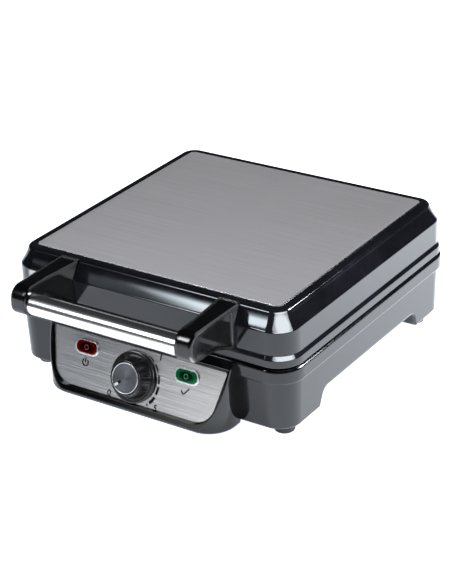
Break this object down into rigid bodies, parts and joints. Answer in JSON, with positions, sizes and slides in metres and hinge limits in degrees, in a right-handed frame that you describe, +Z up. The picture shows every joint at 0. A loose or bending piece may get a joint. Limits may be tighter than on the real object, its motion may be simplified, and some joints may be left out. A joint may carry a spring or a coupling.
{
  "type": "waffle maker",
  "caption": "Square electric waffle maker with a rear-hinged lid, steel top plate, bar handle, sloping control panel with lamps and a thermostat knob.",
  "frame": {"origin": "on the table, under the middle of the object's bounding box", "axes": "+Y from the control panel at the front to the hinges at the rear, +Z up, +X to the right seen from the front"},
  "size_m": [0.275, 0.3434, 0.1097],
  "materials": {
    "housing_black": "high gloss black",
    "handle_black": "satin top and gloss sides",
    "lid_steel": "brushed across the width",
    "fascia_steel": "brushed across the width",
    "tube_chrome": "polished",
    "knob_black": "gloss black with flutes",
    "knob_metal": "satin with a turned grain",
    "lens_red": "dark translucent red",
    "lens_green": "dark translucent green",
    "bezel_chrome": "polished",
    "foot_rubber": "matte",
    "plate_coating": "dark non-stick coating",
    "heater_sheath": "dull sheath",
    "reflector_sheet": "mill finish",
    "screw_steel": "zinc plated",
    "ceramic_white": "unglazed",
    "block_plastic": "matte off-white",
    "thermostat_plastic": "matte brown",
    "shaft_steel": "turned",
    "nut_brass": "turned",
    "sensor_copper": "copper tone",
    "neon_glass": "clear",
    "gland_plastic": "satin black",
    "wire_sleeve": "heat-proof sleeve",
    "lead_sleeve": "matte black",
    "bush_plastic": "natural acetal"
  },
  "bodies": {
    "base": {"base_housing": "housing_black", "rubber_feet": "foot_rubber", "control_box": "housing_black", "control_box_screws": "screw_steel", "control_fascia": "fascia_steel", "power_lens": "lens_red", "ready_lens": "lens_green", "lamp_bezels": "bezel_chrome", "neon_lamps": "neon_glass", "lamp_holders": "block_plastic", "thermostat_body": "thermostat_plastic", "thermostat_nut": "nut_brass", "lower_waffle_plate": "plate_coating", "lower_heater": "heater_sheath", "lower_reflector": "reflector_sheet", "lower_insulators": "ceramic_white", "lower_plate_screws": "screw_steel", "sensor_bulb": "sensor_copper", "sensor_clip": "screw_steel", "thermal_fuse": "ceramic_white", "fuse_clip": "screw_steel", "terminal_block": "block_plastic", "cord_gland": "gland_plastic", "base_wiring": "wire_sleeve", "base_lead": "lead_sleeve", "hinge_stubs": "shaft_steel"},
    "lid": {"lid_housing": "housing_black", "lid_plate": "lid_steel", "handle_arm_left": "handle_black", "handle_arm_right": "handle_black", "handle_tube": "tube_chrome", "handle_screws": "screw_steel", "hinge_bushes": "bush_plastic", "lid_lead": "lead_sleeve", "lid_wiring": "wire_sleeve", "upper_waffle_plate": "plate_coating", "upper_heater": "heater_sheath", "upper_reflector": "reflector_sheet", "upper_insulators": "ceramic_white", "upper_plate_screws": "screw_steel"},
    "knob": {"knob": "knob_black", "knob_cap": "knob_metal", "thermostat_shaft": "shaft_steel"}
  },
  "joints": [
    {"name": "lid_hinge", "type": "hinge", "parent": "base", "child": "lid", "pos_m": [0, 0.16118, 0.0712], "axis": [-1, 0, 0], "range_deg": [0, 100]},
    {"name": "knob_turn", "type": "hinge", "parent": "base", "child": "knob", "pos_m": [0, -0.13009, 0.03181], "axis": [0, 0.9336, -0.3584], "range_deg": [0, 265]}
  ]
}
